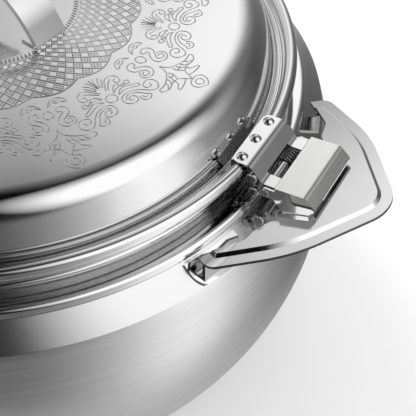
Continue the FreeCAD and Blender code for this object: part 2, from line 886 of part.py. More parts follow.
# Lever and hook
def lever_cover():
    top_z = rim_height - lever_top_drop
    crown_z = rim_height - lever_crown_drop
    side = [
        (lever_inner, top_z),
        (lever_crown_x, crown_z, lever_crown_round),
        (lever_nose_x, rim_height - lever_nose_drop, 0.9),
        (cheek_right, rim_height - cheek_right_drop, 0.7),
        (cheek_left, rim_height - cheek_left_drop, 1.0),
        (lever_inner + 0.9, pivot_z - 3.6, 4.0),
        (lever_inner - 0.3, pivot_z - cheek_arm),
        (pivot_x, pivot_z - cheek_arm),
        (pivot_x, pivot_z + cheek_arm),
        (lever_inner, pivot_z + cheek_arm),
    ]
    cheek = outline([(x, z) + tuple(r) for x, z, *r in side])
    whole = across(cheek, lever_half)
    whole = whole.fuse(rod(pivot_x, pivot_z, cheek_arm, -lever_half, lever_half))
    path = [
        (lever_inner - 20.0, top_z),
        (lever_inner, top_z),
        (lever_crown_x, crown_z, lever_crown_round),
        (lever_nose_x, rim_height - lever_nose_drop, 0.9),
    ]
    skin = trace(offset(path[1:], -lever_sheet))
    first = skin[0][1]
    last = skin[-1][-1]
    nose = (last[0] + 4.0, last[1] - 4.0)
    low = (first[0] - 30.0, last[1] - 30.0)
    left = (first[0] - 30.0, first[1])
    round_off = [("line", last, nose), ("line", nose, low), ("line", low, left), ("line", left, first)]
    room = face(skin + round_off)
    cover = whole.cut(across(room, lever_half - lever_sheet))
    inner = lever_half - lever_sheet
    bite = block(pivot_x - 10.0, lever_inner, -inner, inner, below_z, above_z)
    cover = cover.cut(bite)
    cover = cover.cut(rod(pivot_x, pivot_z, pivot_end_radius + running_fit, -20.0, 20.0))
    return cover.removeSplitter()


def tray_slope():
    return (tray_left_drop - tray_right_drop) / (tray_right - tray_left)


def lever_tray():
    """Tray under the lever, with the hook bent out of its floor."""
    slope = tray_slope()
    right_z = rim_height - tray_right_drop
    left_z = rim_height - tray_left_drop
    face_x = keeper_x + keeper_pin_radius + hook_side_gap + hook_sheet
    lip_top = keeper_z - keeper_pin_radius - hook_lip_gap
    bend_z = right_z - slope * (tray_right - face_x)
    hook_path = [
        (tray_right - 1.0, right_z - slope),
        (face_x, bend_z, 1.8),
        (face_x, lip_top - hook_sheet, 1.3),
        (keeper_x + keeper_pin_radius + hook_tip_gap, lip_top - hook_sheet),
    ]
    hook = across(strip(hook_path, -hook_sheet), hook_half)
    size = math.hypot(1.0, slope)
    up = (-slope / size, 1.0 / size)

    def lift(x, z, height):
        return (x + up[0] * height, z + up[1] * height)

    lower = [(tray_left, left_z), (tray_right, right_z)]
    def along(x, height):
        """Point above the underside of the tray's floor."""
        return lift(x, right_z - slope * (tray_right - x), height)

    rim_right = along(tray_right, tray_depth)
    rim_left = along(tray_left, tray_depth)
    outer = across(outline([lower[0] + (1.2,), lower[1] + (0.5,), rim_right, rim_left + (0.6,)]), lever_half)
    start = tray_left - 2.0
    end = tray_right - tray_sheet
    room_path = [along(start, hook_sheet), along(end, hook_sheet), along(end, 9.0), along(start, 9.0)]
    room = across(outline(room_path), lever_half - tray_sheet)
    start = tray_left + 1.5
    end = tray_right - 2.2
    high = [along(end, wall_rise) + (1.0,), along(start, wall_rise) + (1.0,)]
    wall = outline([along(start, hook_sheet), along(end, hook_sheet)] + high)
    inner = lever_half - lever_sheet - wall_fit
    walls = both_sides(wall, inner - tray_sheet, inner)
    ledge_low = [along(start, tray_depth - tray_sheet), along(end, tray_depth - tray_sheet)]
    ledge_high = [along(end, tray_depth), along(start, tray_depth)]
    ledges = both_sides(outline(ledge_low + ledge_high), inner - tray_sheet, lever_half - tray_sheet + 0.2)
    return joined([outer.cut(room), walls, ledges, hook])


# What is fixed to the body's shoulder
def shoulder_pad(half, corner_round, length, thickness):
    """Pad lying on the shoulder, half wide each side of the XZ plane, with two rounded corners."""
    path = outer_path()[:2]
    dx = path[1][0] - path[0][0]
    dz = path[1][1] - path[0][1]
    size = math.hypot(dx, dz)
    a = (path[0][0] + dx / size * pad_start, path[0][1] + dz / size * pad_start)
    end = pad_start + length
    b = (path[0][0] + dx / size * end, path[0][1] + dz / size * end)
    pad = spin(strip([a, b], thickness), 30.0)
    outer = b[0] + thickness
    inner = a[0] - 10.0
    shape = outline([
        (inner, -half),
        (outer, -half, corner_round),
        (outer, half, corner_round),
        (inner, half),
    ], in_xy).extrude(V(0, 0, above_z - below_z))
    shape.translate(V(0, 0, below_z))
    return pad.common(shape)


def latch_bracket(body):
    pad = shoulder_pad(keeper_pad_half, keeper_pad_round, pad_length, keeper_pad)
    ear = outline([
        (keeper_x - 2.0, keeper_z + 2.2, 1.5),
        (keeper_x + 2.3, keeper_z + 2.2, 1.8),
        (keeper_x + 4.3, keeper_z - 5.5),
        (keeper_x - 4.1, keeper_z - 5.5),
    ])
    ears = both_sides(ear, keeper_ear_inner, keeper_ear_inner + keeper_ear_sheet)
    bracket = joined([pad, ears.cut(body)])
    return bracket.cut(rod(keeper_x, keeper_z, keeper_pin_radius + rivet_fit, -30.0, 30.0))


def catch_pin():
    half = keeper_ear_inner + keeper_ear_sheet + 0.05
    return pinned(keeper_x, keeper_z, keeper_pin_radius, half, keeper_pin_head, keeper_pin_head_height)


# Hinge, drawn at the front and turned to the rear when saved
knuckle_radius = hinge_pin_radius + running_fit + hinge_sheet


def knuckle(low, high):
    outer = rod(hinge_x, hinge_z, knuckle_radius, low, high)
    return outer.cut(rod(hinge_x, hinge_z, hinge_pin_radius + running_fit, low - 1.0, high + 1.0))


def lid_hinge_leaf():
    dx = hinge_x - hinge_bend
    dz = hinge_z - plate_top_z
    heading = math.atan2(dz, dx) + math.asin(knuckle_radius / math.hypot(dx, dz))
    reach = math.sqrt(dx * dx + dz * dz - knuckle_radius ** 2)
    touch = (hinge_bend + reach * math.cos(heading), plate_top_z + reach * math.sin(heading))
    path = [(fitting_inner, plate_top_z), (hinge_bend, plate_top_z, hinge_bend_round), touch]
    sheet = across(strip(path, -hinge_sheet), hinge_half)
    sheet = sheet.common(plan(fitting_inner, hinge_x + 10.0, hinge_half, fitting_corner, 0.0))
    gap = hinge_middle + hinge_side_gap
    window = block(hinge_bend + 2.6, hinge_x + 10.0, -gap, gap, hinge_z - 10.0, plate_top_z)
    leaf = joined([sheet.cut(window), knuckle(gap, hinge_half), knuckle(-hinge_half, -gap)])
    leaf = leaf.cut(rod(hinge_x, hinge_z, hinge_pin_radius + running_fit, -hinge_half, hinge_half))
    return fitting_holes(leaf)


def hinge_bracket(body):
    pad = shoulder_pad(hinge_pad_half, keeper_pad_round, pad_length, keeper_pad)
    inner = hinge_x + knuckle_radius - hinge_sheet
    post = block(inner, inner + hinge_sheet, -hinge_middle, hinge_middle, hinge_z - 25.0, hinge_z)
    bracket = joined([pad, post.cut(body), knuckle(-hinge_middle, hinge_middle)])
    return bracket.cut(rod(hinge_x, hinge_z, hinge_pin_radius + running_fit, -hinge_middle, hinge_middle))


def hinge_pin():
    return pinned(hinge_x, hinge_z, hinge_pin_radius, hinge_half + 0.3, hinge_pin_head, hinge_pin_head_height)


# Wing handles
def handle_outline(inset):
    """Corners of the handle seen square to its own plane, each side drawn in by inset."""
    points = [
        (handle_corner_x, -handle_corner_y, handle_corner_round),
        (handle_side_x, -handle_side_y, handle_side_round),
        (handle_tip, 0.0, handle_tip_round),
        (handle_side_x, handle_side_y, handle_side_round),
        (handle_corner_x, handle_corner_y, handle_corner_round),
    ]
    start = (handle_corner_x - 8.0, -handle_corner_y + handle_corner_rise)
    end = (handle_corner_x - 8.0, handle_corner_y - handle_corner_rise)
    moved = offset([start] + points + [end], inset)
    return [(x, y, max(r, 1.0)) if i in (1, 2, 3, 4, 5) else (x, y) for i, (x, y, r) in enumerate(moved)]


def handle_wire(inset, z):
    wire = Part.Wire(Part.__sortEdges__(edges(trace(handle_outline(inset), closed=True), in_xy)))
    wire.translate(V(0, 0, z))
    return wire


def raised(inset, low, high, draft):
    return Part.makeLoft([handle_wire(inset, low), handle_wire(inset + draft, high)], True, True)


def handle_mouth(side):
    """What is cut from a handle's inner side: the notch's flared mouth and the slanting edge."""
    points = [
        (0.0, 0.0),
        (0.0, handle_heel_y),
        (handle_heel_x, handle_heel_y),
        (handle_toe_x, handle_toe_y, handle_toe_round),
        (handle_toe_x + 1.4, notch_mouth, notch_mouth_round),
        (handle_toe_x + 7.4, notch_half, notch_mouth_round),
        (handle_toe_x + 9.0, notch_half),
        (handle_toe_x + 9.0, 0.0),
    ]
    sided = [(p[0], side * p[1]) + tuple(p[2:]) for p in points]
    piece = outline(sided, in_xy).extrude(V(0, 0, above_z - below_z))
    piece.translate(V(0, 0, below_z))
    return piece


def wing_handle():
    flange = Part.Face(handle_wire(0.0, -handle_sheet)).extrude(V(0, 0, handle_sheet))
    top = raised(handle_flange, -0.01, handle_step, handle_draft)
    inset = handle_flange + handle_sheet * 0.4
    under = raised(inset, -handle_sheet - 0.01, handle_step - handle_sheet, handle_draft)
    plate = flange.fuse(top).cut(under)
    plate.translate(V(0, 0, handle_height))
    plate.rotate(V(handle_root, 0, handle_height), V(0, 1, 0), -handle_tilt)
    plate = plate.cut(Part.makeCylinder(handle_inner_radius, above_z - below_z, V(0, 0, below_z)))
    plate = plate.cut(plan(handle_inner_radius - 30.0, notch_end, notch_half, 0.0, notch_round))
    plate = plate.cut(handle_mouth(1.0)).cut(handle_mouth(-1.0))
    return plate.removeSplitter()


def tab(body, angle):
    """Rounded tab on the shoulder, with a web up to the underside of a handle."""
    pad = shoulder_pad(tab_half, tab_round, tab_length, tab_sheet)
    pad.rotate(V(0, 0, 0), V(0, 0, 1), angle)
    web = block(web_radius, web_radius + web_sheet, -web_half, web_half, seam_height - 4.0, rim_height)
    web.rotate(V(0, 0, 0), V(0, 0, 1), math.copysign(web_angle, angle))
    over = block(0.0, handle_tip, -handle_tip, handle_tip, -handle_sheet, above_z)
    over.translate(V(0, 0, handle_height))
    over.rotate(V(handle_root, 0, handle_height), V(0, 1, 0), -handle_tilt)
    return joined([pad.cut(body), web.cut(over).cut(body)])


def handle_tabs(body):
    return Part.makeCompound([tab(body, tab_angle), tab(body, -tab_angle)])


body = body_solid()
handle = wing_handle()
tabs = handle_tabs(body)

save("outer_shell", outer_shell())
save("inner_bowl", inner_bowl())
save("neck_ring", neck_ring())
save("body_insulation", body_foam())
save("base_plate", base_plate())
save("filling_plug", filling_plug())

save("lid_shell", fitting_holes(to_rear(fitting_holes(lid_shell_with_holes()))))
save("lid_liner", lid_liner())
save("lid_insulation", lid_foam())
save("lid_handle", lid_handle())
save("handle_washers", on_studs(washer))
save("handle_nuts", on_studs(nut))

save("catch_plate", catch_plate())
save("latch_saddle", saddle())
save("catch_backing_plate", backing_plate())
save("catch_rivets", lid_rivets())
save("lever_pivot_rod", pivot_rod())
save("lever_stop_pin", cross_pin(stop_pin_x, rim_height - stop_pin_drop))
save("spring_anchor_pin", cross_pin(anchor_pin_x, rim_height - anchor_pin_drop))
save("latch_spring", latch_spring())
save("lever_cover", lever_cover())
save("lever_tray", lever_tray())
save("latch_bracket", latch_bracket(body))
save("catch_pin", catch_pin())

save("lid_hinge_leaf", to_rear(lid_hinge_leaf()))
save("hinge_saddle", to_rear(saddle()))
save("hinge_backing_plate", to_rear(backing_plate()))
save("hinge_rivets", to_rear(lid_rivets()))
save("hinge_bracket", to_rear(hinge_bracket(body)))
save("hinge_pin", to_rear(hinge_pin()))

save("front_handle", handle)
save("front_handle_tabs", tabs)
save("rear_handle", to_rear(handle))
save("rear_handle_tabs", to_rear(tabs))

print("least gap between turns of the spring", round(spring_gap(), 3))
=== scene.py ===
import math

import bpy
from mathutils import Matrix, Vector


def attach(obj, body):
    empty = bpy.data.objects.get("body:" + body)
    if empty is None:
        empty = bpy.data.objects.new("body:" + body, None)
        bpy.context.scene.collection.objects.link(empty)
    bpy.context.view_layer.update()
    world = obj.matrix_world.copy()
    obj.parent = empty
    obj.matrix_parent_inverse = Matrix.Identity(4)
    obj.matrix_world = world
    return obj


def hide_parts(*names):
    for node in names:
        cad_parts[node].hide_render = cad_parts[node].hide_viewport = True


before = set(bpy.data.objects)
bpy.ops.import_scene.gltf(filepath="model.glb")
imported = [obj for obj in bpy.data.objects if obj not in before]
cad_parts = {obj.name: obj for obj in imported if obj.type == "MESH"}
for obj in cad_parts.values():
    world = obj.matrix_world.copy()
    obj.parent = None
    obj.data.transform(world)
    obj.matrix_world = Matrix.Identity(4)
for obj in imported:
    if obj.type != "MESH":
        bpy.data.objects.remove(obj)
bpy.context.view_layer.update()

MM = 0.001


# Node helper: adds one node with its settings, its fixed values and its links
def add(tree, kind, inputs=None, **settings):
    made = tree.nodes.new(kind)
    for key, value in settings.items():
        setattr(made, key, value)
    for key, value in (inputs or {}).items():
        if isinstance(value, bpy.types.NodeSocket):
            tree.links.new(value, made.inputs[key])
        else:
            made.inputs[key].default_value = value
    return made


def linear(code):
    """Turn an sRGB hex colour into Blender's linear values."""
    parts = [int(code[i:i + 2], 16) / 255.0 for i in (1, 3, 5)]
    return [c / 12.92 if c <= 0.04045 else ((c + 0.055) / 1.055) ** 2.4 for c in parts] + [1.0]


def new_material(name):
    material = bpy.data.materials.new(name)
    material.use_nodes = True
    material.node_tree.nodes.clear()
    return material, material.node_tree


def output(tree, shader):
    add(tree, "ShaderNodeOutputMaterial", {"Surface": shader.outputs[0]})


def noise(tree, where, scale, detail, roughness=0.5):
    settings = {"Vector": where, "Scale": scale, "Detail": detail, "Roughness": roughness}
    return add(tree, "ShaderNodeTexNoise", settings).outputs[0]


def spread(tree, value, low, high, start=0.0, end=1.0, **settings):
    """Map a value from start..end to low..high."""
    inputs = {0: value, 1: start, 2: end, 3: low, 4: high}
    return add(tree, "ShaderNodeMapRange", inputs, **settings).outputs[0]


def between(tree, share, first, last):
    """Mix two numbers by a share."""
    return add(tree, "ShaderNodeMix", {0: share, 2: first, 3: last}).outputs[0]


def tint_between(tree, share, first, last):
    """Mix two colours by a share."""
    return add(tree, "ShaderNodeMix", {0: share, 6: first, 7: last}, data_type="RGBA").outputs[2]


def relief(tree, height, strength, depth):
    """Bump of a depth in metres."""
    settings = {"Strength": strength, "Distance": depth, "Height": height}
    return add(tree, "ShaderNodeBump", settings).outputs[0]


def metal(tree, colour, rough, normal=None):
    inputs = {"Metallic": 1.0, "Base Color": colour, "Roughness": rough}
    if normal is not None:
        inputs["Normal"] = normal
    output(tree, add(tree, "ShaderNodeBsdfPrincipled", inputs))


# Polished stainless steel, buffed to a mirror: bright, with faint buffing haze about 1.5 mm across
def mirror_steel(name, tint, shine):
    material, tree = new_material(name)
    where = add(tree, "ShaderNodeTexCoord").outputs["Object"]
    rough = spread(tree, noise(tree, where, 650.0, 3.0), shine, shine + 0.05)
    wave = noise(tree, where, 60.0, 1.0)
    metal(tree, linear(tint), rough, relief(tree, wave, 0.25, 0.00002))
    return material


# Brushed stainless steel: streaks along one direction, drawn a little coarser than the real 0.2 mm
def brushed_steel(name, tint, scale, shine, depth):
    material, tree = new_material(name)
    where = add(tree, "ShaderNodeTexCoord").outputs["Object"]
    stretched = add(tree, "ShaderNodeMapping", {"Vector": where, "Scale": scale}).outputs[0]
    streaks = noise(tree, stretched, 1.0, 4.0, 0.7)
    rough = spread(tree, streaks, shine - 0.08, shine + 0.1, 0.3, 0.7)
    share = spread(tree, streaks, 0.86, 1.0, 0.3, 0.7)
    colour = tint_between(tree, share, linear("#000000"), linear(tint))
    metal(tree, colour, rough, relief(tree, streaks, 0.35, depth))
    return material


# Lever: its top and front brushed along their length, its two cheeks polished to a mirror and tinted
# lighter as a painted sheen
def lever_steel():
    material, tree = new_material("stainless_brushed_lever_polished_cheeks_painted_sheen")
    where = add(tree, "ShaderNodeTexCoord").outputs["Object"]
    along = (2600.0, 14.0, 2600.0)
    stretched = add(tree, "ShaderNodeMapping", {"Vector": where, "Scale": along}).outputs[0]
    streaks = noise(tree, stretched, 1.0, 4.0, 0.7)
    facing = add(tree, "ShaderNodeNewGeometry").outputs["Normal"]
    sideways = add(tree, "ShaderNodeSeparateXYZ", {0: facing}).outputs[1]
    sideways = add(tree, "ShaderNodeMath", {0: sideways}, operation="ABSOLUTE").outputs[0]
    cheek = spread(tree, sideways, 0.0, 1.0, 0.75, 0.9)
    rough = between(tree, cheek, spread(tree, streaks, 0.16, 0.32, 0.3, 0.7), 0.06)
    grain = tint_between(tree, streaks, linear("#d6d6d5"), linear("#f0f0ef"))
    # painted sheen: the cheeks, picked by the way they face, get a lighter tint than the brushed grain
    colour = tint_between(tree, cheek, grain, linear("#f2f2f2"))
    metal(tree, colour, rough, relief(tree, streaks, spread(tree, cheek, 0.3, 0.0), 0.000008))
    return material


# Wing handle: pressed sheet polished on its faces, its sheared edge left dull, with the steep faces
# tinted dark as painted shade
def handle_steel():
    material, tree = new_material("stainless_mirror_dull_edge_painted_shade")
    where = add(tree, "ShaderNodeTexCoord").outputs["Object"]
    facing = add(tree, "ShaderNodeNewGeometry").outputs["True Normal"]
    level = add(tree, "ShaderNodeSeparateXYZ", {0: facing}).outputs[2]
    level = add(tree, "ShaderNodeMath", {0: level}, operation="ABSOLUTE").outputs[0]
    edge = spread(tree, level, 0.0, 1.0, 0.3, 0.2)
    rough = between(tree, edge, spread(tree, noise(tree, where, 650.0, 3.0), 0.07, 0.13), 0.4)
    # painted shade: faces that stand steep get a dark grey tint, which draws dark lines along the
    # handle's edges
    metal(tree, tint_between(tree, edge, linear("#e0e0e0"), linear("#5c5c5d")), rough)
    return material


# Outer shell: belly satin-brushed round and round, shoulder above the seam polished
def shell_steel():
    seam_low = 0.1108
    seam_high = 0.1148
    material, tree = new_material("stainless_satin_belly_polished_shoulder")
    where = add(tree, "ShaderNodeTexCoord").outputs["Object"]
    round_it = (14.0, 14.0, 3400.0)
    stretched = add(tree, "ShaderNodeMapping", {"Vector": where, "Scale": round_it}).outputs[0]
    fine = noise(tree, stretched, 1.0, 4.0, 0.75)
    round_it = (5.0, 5.0, 900.0)
    stretched = add(tree, "ShaderNodeMapping", {"Vector": where, "Scale": round_it}).outputs[0]
    broad = noise(tree, stretched, 1.0, 2.0)
    height = add(tree, "ShaderNodeSeparateXYZ", {0: where}).outputs[2]
    polish = spread(tree, height, 0.0, 1.0, seam_low, seam_high)
    rough = between(tree, polish, spread(tree, fine, 0.26, 0.42, 0.3, 0.7), 0.2)
    streak = add(tree, "ShaderNodeMath", {0: fine, 1: broad}, operation="ADD").outputs[0]
    shade = spread(tree, streak, 0.8, 1.0, 0.7, 1.3)
    satin = tint_between(tree, shade, linear("#a6a6a7"), linear("#e6e6e6"))
    colour = tint_between(tree, polish, satin, linear("#dcdcdc"))
    metal(tree, colour, rough, relief(tree, fine, spread(tree, polish, 0.3, 0.0), 0.00002))
    return material


# Lid: mirror steel pressed with a diamond lattice, a scalloped border and a rope ring round a plain disc
def lid_steel():
    lattice_in = 38.6
    lattice_out = 60.0
    scallop = 2.5
    scallops = 20
    spirals = 84
    spiral_slope = 0.86
    rope_strands = 150.0
    top_side = 0.150
    material, tree = new_material("stainless_mirror_pressed_lattice")

    def sum_of(operation, a, b=0.0, c=0.0):
        return add(tree, "ShaderNodeMath", {0: a, 1: b, 2: c}, operation=operation).outputs[0]

    def times(a, b):
        return sum_of("MULTIPLY", a, b)

    def ridge(distance, width, crest=0.0):
        """1 on a line, 0 beyond its width."""
        return spread(tree, distance, 0.0, 1.0, width, crest, interpolation_type="SMOOTHSTEP")

    def line_of(value, width):
        return ridge(sum_of("ABSOLUTE", sum_of("SUBTRACT", sum_of("FRACT", value), 0.5)), width)

    where = add(tree, "ShaderNodeTexCoord").outputs["Object"]
    x, y, z = add(tree, "ShaderNodeSeparateXYZ", {0: where}).outputs
    radius = times(sum_of("SQRT", sum_of("ADD", times(x, x), times(y, y))), 1000.0)
    angle = sum_of("ARCTAN2", y, x)
    upper = sum_of("GREATER_THAN", z, top_side)
    pitch = spirals / (2.0 * math.pi)
    turns = times(angle, pitch)
    growth = times(sum_of("LOGARITHM", radius, math.e), pitch * spiral_slope)
    one_way = sum_of("ADD", turns, growth)
    other_way = sum_of("SUBTRACT", turns, growth)
    lines = sum_of("MAXIMUM", line_of(one_way, 0.13), line_of(other_way, 0.13))
    small = sum_of("MAXIMUM", line_of(times(one_way, 3.0), 0.2), line_of(times(other_way, 3.0), 0.2))
    one_cell = sum_of("FLOOR", sum_of("ADD", one_way, 0.5))
    other_cell = sum_of("FLOOR", sum_of("ADD", other_way, 0.5))
    odd_or_even = sum_of("PINGPONG", sum_of("ADD", one_cell, other_cell), 1.0)
    every_other = sum_of("COMPARE", odd_or_even, 0.0, 0.1)
    net = sum_of("MAXIMUM", lines, times(times(small, every_other), 0.7))
    wave = sum_of("ABSOLUTE", sum_of("SINE", times(angle, scallops / 2.0)))
    edge = sum_of("MULTIPLY_ADD", wave, scallop, lattice_out)
    inside = times(sum_of("GREATER_THAN", radius, lattice_in), sum_of("LESS_THAN", radius, edge))
    border = ridge(sum_of("ABSOLUTE", sum_of("SUBTRACT", radius, edge)), 0.5)
    twist = sum_of("SINE", sum_of("ADD", times(angle, rope_strands), times(radius, 1.6)))
    band = ridge(sum_of("ABSOLUTE", sum_of("SUBTRACT", radius, lattice_in - 1.3)), 1.3, 0.6)
    rope = times(sum_of("MULTIPLY_ADD", twist, 0.5, 0.5), band)
    pressed = sum_of("MAXIMUM", times(net, inside), sum_of("MAXIMUM", border, rope))
    pressed = times(pressed, upper)
    smooth = spread(tree, noise(tree, where, 650.0, 3.0), 0.06, 0.11)
    colour = tint_between(tree, pressed, linear("#dedede"), linear("#b4b4b4"))
    metal(tree, colour, between(tree, pressed, smooth, 0.3), relief(tree, pressed, 1.0, 0.00014))
    return material


# Rigid foam: pale, with cells about 1 mm across
def foam():
    material, tree = new_material("rigid_polyurethane_foam")
    where = add(tree, "ShaderNodeTexCoord").outputs["Object"]
    cells = add(tree, "ShaderNodeTexVoronoi", {"Vector": where, "Scale": 900.0}).outputs[0]
    colour = tint_between(tree, cells, linear("#e9dcae"), linear("#d3c48f"))
    inputs = {"Base Color": colour, "Roughness": 0.9, "Normal": relief(tree, cells, 0.6, 0.0004)}
    output(tree, add(tree, "ShaderNodeBsdfPrincipled", inputs))
    return material


# Moulded plastic plug: matt black with a spark-eroded grain of about 0.4 mm
def plug_plastic():
    material, tree = new_material("moulded_polypropylene_black")
    where = add(tree, "ShaderNodeTexCoord").outputs["Object"]
    grain = noise(tree, where, 2500.0, 2.0)
    rough = spread(tree, grain, 0.45, 0.65)
    bump = relief(tree, grain, 0.3, 0.00005)
    inputs = {"Base Color": linear("#1d1d1f"), "Roughness": rough, "Normal": bump}
    output(tree, add(tree, "ShaderNodeBsdfPrincipled", inputs))
    return material


# Finishes, each given to the nodes that are made of it
polished = mirror_steel("stainless_mirror_polished", "#e0e0e0", 0.05)
fittings = mirror_steel("stainless_bright_pressed", "#d2d2d3", 0.12)
rivets = mirror_steel("stainless_rivet_polished", "#d8d8d9", 0.08)
spring = mirror_steel("spring_wire_drawn", "#77787b", 0.28)
spun = brushed_steel("stainless_spun_bright", "#d6d6d6", (12.0, 12.0, 900.0), 0.24, 0.00001)
base = brushed_steel("stainless_satin_base", "#bdbdbe", (40.0, 40.0, 40.0), 0.35, 0.00001)
lever = lever_steel()
wing = handle_steel()
finish_of = {
    "outer_shell": shell_steel(),
    "lid_shell": lid_steel(),
    "inner_bowl": spun,
    "lid_liner": spun,
    "base_plate": base,
    "neck_ring": polished,
    "lid_handle": polished,
    "catch_plate": polished,
    "front_handle": wing,
    "rear_handle": wing,
    "front_handle_tabs": polished,
    "rear_handle_tabs": polished,
    "lid_hinge_leaf": polished,
    "lever_cover": lever,
    "lever_tray": lever,
    "latch_spring": spring,
    "body_insulation": foam(),
    "lid_insulation": foam(),
    "filling_plug": plug_plastic(),
}
turned_pieces = (
    "catch_rivets", "hinge_rivets", "lever_pivot_rod", "lever_stop_pin", "spring_anchor_pin",
    "catch_pin", "hinge_pin")
for name in turned_pieces:
    finish_of[name] = rivets
for name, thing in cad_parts.items():
    for slot in thing.material_slots:
        slot.material = finish_of.get(name, fittings)


# Embossed ornament on the lid: strokes drawn once for half a motif, as (sideways, outwards) in mm;
# rings and beads are (sideways, outwards, half width, half height)
FLEUR = [
    [(3.4, 69.6), (5.4, 69.2), (7.3, 70.8), (7.3, 73.2), (5.4, 74.9), (4.1, 76.4), (4.8, 78.0),
     (6.6, 78.1), (6.9, 76.7), (5.3, 76.1)],
    [(3.4, 69.6), (3.6, 71.2), (5.3, 71.8), (4.0, 73.3), (2.5, 75.0), (2.1, 77.3), (4.0, 79.4),
     (6.8, 79.5), (8.3, 77.9), (7.7, 75.9), (6.2, 75.0)],
    [(1.2, 67.4), (2.2, 65.6), (4.0, 64.3), (6.2, 64.4), (8.0, 65.8), (8.6, 67.6), (6.8, 66.8),
     (5.2, 66.9), (3.8, 66.1), (1.2, 67.4)],
    [(4.2, 65.2), (5.2, 65.6), (6.4, 65.6)],
    [(0.0, 79.4), (1.3, 82.8), (4.2, 84.9), (8.4, 86.6), (12.0, 87.2), (10.9, 88.8), (8.6, 89.1),
     (5.2, 88.3), (2.4, 89.2), (0.9, 91.8), (0.0, 93.2)],
    [(4.4, 88.7), (5.2, 90.4), (7.7, 92.3), (5.4, 92.4), (3.3, 92.0), (1.6, 91.4)],
    [(1.6, 84.2), (1.5, 86.2), (2.7, 88.6)],
    [(3.0, 84.9), (3.4, 86.6), (4.6, 88.1)],
    [(5.0, 85.6), (5.3, 87.0), (6.8, 88.4)],
    [(7.2, 86.4), (7.6, 87.6), (9.2, 88.7)],
    [(1.0, 85.8), (2.4, 86.4), (4.0, 86.0)],
    [(0.0, 93.4), (2.5, 94.1), (3.5, 96.2), (2.3, 98.5), (0.0, 99.9)],
    [(0.0, 94.8), (1.5, 95.6), (1.4, 97.1), (0.0, 98.3)],
]
ROSETTE = [
    [(0.0, 69.6), (0.0, 66.4), (0.0, 63.8)],
    [(0.6, 69.5), (0.7, 66.6), (1.6, 64.0)],
    [(1.1, 69.6), (1.9, 67.0), (3.4, 64.9)],
    [(1.5, 70.2), (3.0, 67.9), (4.0, 66.4)],
    [(1.2, 72.2), (3.1, 69.6), (4.5, 67.7), (7.0, 67.4), (9.0, 68.9), (9.2, 71.1), (8.2, 72.2),
     (6.9, 71.5), (7.0, 70.1), (8.0, 70.0)],
    [(2.1, 72.5), (3.8, 70.6), (5.4, 69.2), (6.4, 68.8)],
    [(2.7, 75.0), (3.8, 73.2), (5.7, 72.2), (6.9, 73.0), (6.0, 73.9), (4.4, 74.1), (2.7, 75.0)],
    [(3.5, 77.0), (4.8, 75.6), (7.4, 75.3), (10.0, 76.6), (12.8, 78.9), (9.4, 77.7), (6.4, 76.7),
     (3.5, 77.0)],
    [(5.3, 82.7), (4.4, 81.8), (5.3, 80.8), (7.0, 81.5), (7.2, 83.3), (5.4, 84.3), (3.1, 83.4),
     (2.1, 81.3), (2.8, 79.2), (5.0, 78.4), (8.2, 79.1), (11.2, 81.3), (13.3, 83.9), (15.6, 85.3),
     (17.7, 84.3), (18.2, 81.9), (16.4, 79.8), (14.0, 79.7), (12.9, 81.0), (14.0, 82.5),
     (15.6, 82.3), (15.8, 81.2)],
    [(3.6, 81.0), (4.6, 79.7), (6.8, 79.8), (9.2, 81.3), (10.8, 83.6), (12.4, 85.3)],
    [(8.2, 83.2), (8.0, 84.9), (9.2, 86.4), (11.0, 86.5), (12.4, 85.3)],
    [(9.2, 83.6), (9.5, 84.9), (10.7, 85.2)],
]
FLEUR_RINGS = [(0.0, 71.6, 1.8, 2.1)]
ROSETTE_RINGS = [(0.0, 76.8, 2.2, 2.1)]
ROSETTE_BEADS = [(9.9, 74.3, 1.0, 1.0), (7.7, 74.3, 0.6, 0.6)]
MOTIFS = 10
FIRST_MOTIF = 1.6
STROKE = 0.27
STROKE_HEIGHT = 0.5

# Crown of the lid: level in the middle, an arc, then a plain slope out to the rounded corner
CROWN_TOP = 160.2
CROWN_RADIUS = 2600.0
CROWN_LEVEL_END = 5.7
CROWN_ARC_END = 90.3
CROWN_EDGE = 158.82
CROWN_SLOPE = 0.0325


def crown_height(r):
    """Height of the lid's top at radius r, in mm."""
    if r <= CROWN_ARC_END:
        return CROWN_TOP - max(0.0, r - CROWN_LEVEL_END) ** 2 / (2.0 * CROWN_RADIUS)
    return CROWN_EDGE - (r - CROWN_ARC_END) * CROWN_SLOPE


def lay(points, closed, curve):
    """One smooth stroke, round the lid from straight ahead."""
    spline = curve.splines.new("BEZIER")
    spline.bezier_points.add(len(points) - 1)
    for knot, (s, r) in zip(spline.bezier_points, points):
        turn = s / r
        knot.co = (r * math.cos(turn) * MM, r * math.sin(turn) * MM, 0.0)
        knot.handle_left_type = "AUTO"
        knot.handle_right_type = "AUTO"
    spline.use_cyclic_u = closed
    spline.resolution_u = 4


def ring_points(s, r, wide, high, count=8):
    """Points round an oval."""
    turns = [2.0 * math.pi * k / count for k in range(count)]
    return [(s + wide * math.cos(turn), r + high * math.sin(turn)) for turn in turns]


